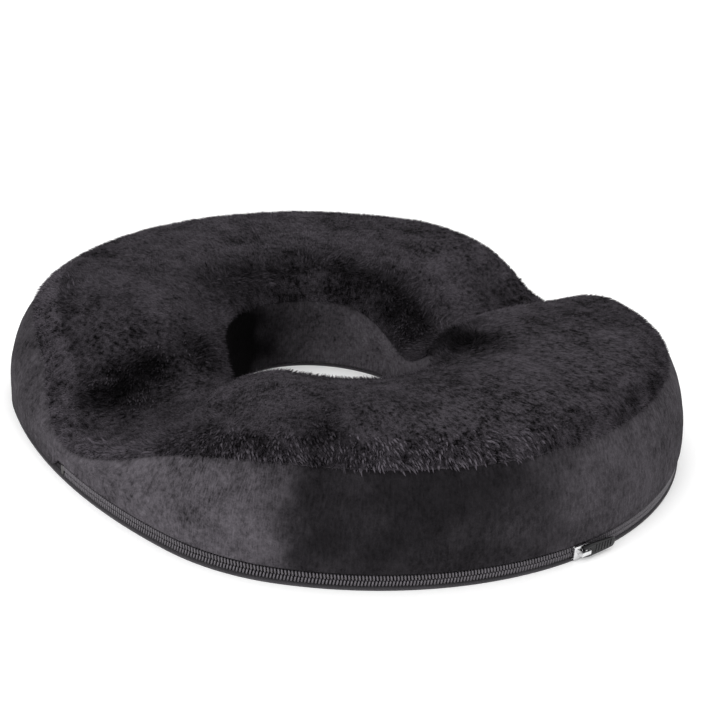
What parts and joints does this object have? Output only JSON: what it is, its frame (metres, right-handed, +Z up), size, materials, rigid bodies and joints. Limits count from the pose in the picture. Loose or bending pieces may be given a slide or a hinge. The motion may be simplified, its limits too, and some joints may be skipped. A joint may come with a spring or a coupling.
{
  "type": "seat cushion",
  "caption": "Oval ring seat cushion with two raised lobes, a front-to-back trough through a central hole, a plush zipped cover and a foam core.",
  "frame": {"origin": "on the floor under the centre of the cushion's outline", "axes": "+X to the sitter's right along the long axis, -Y to the front edge, +Z up"},
  "size_m": [0.4618, 0.42, 0.077],
  "materials": {
    "plush": "matte",
    "base_cloth": "matte",
    "foam": "matte",
    "thread": "matte",
    "zipper_tape": "matte",
    "zipper_coil": "satin",
    "nickel": "polished",
    "dark_metal": "gloss"
  },
  "bodies": {
    "cushion": {"foam_core": "foam", "cover_top_panel": "plush", "cover_side_band": "plush", "cover_hole_band": "plush", "cover_base_panel": "base_cloth", "thread_top_edge": "thread", "thread_hole_top": "thread", "thread_hole_base": "thread", "thread_base_edge": "thread", "zipper_upper_tape": "zipper_tape", "zipper_lower_tape": "zipper_tape", "zipper_upper_sewing": "thread", "zipper_lower_sewing": "thread", "zipper_upper_coil": "zipper_coil", "zipper_lower_coil": "zipper_coil", "zipper_front_stop": "nickel", "zipper_back_stop": "nickel"},
    "slider": {"zipper_slider": "nickel"},
    "pull_tab": {"zipper_pull_tab": "dark_metal"}
  },
  "joints": [
    {"name": "zipper_slider_travel", "type": "hinge", "parent": "cushion", "child": "slider", "pos_m": [0, 0, 0], "axis": [0, 0, 1], "range_deg": [-40, 40]},
    {"name": "zipper_pull_swing", "type": "hinge", "parent": "slider", "child": "pull_tab", "pos_m": [0.231, 0, 0.0055], "axis": [0, 0, -1], "range_deg": [0, 180]}
  ]
}
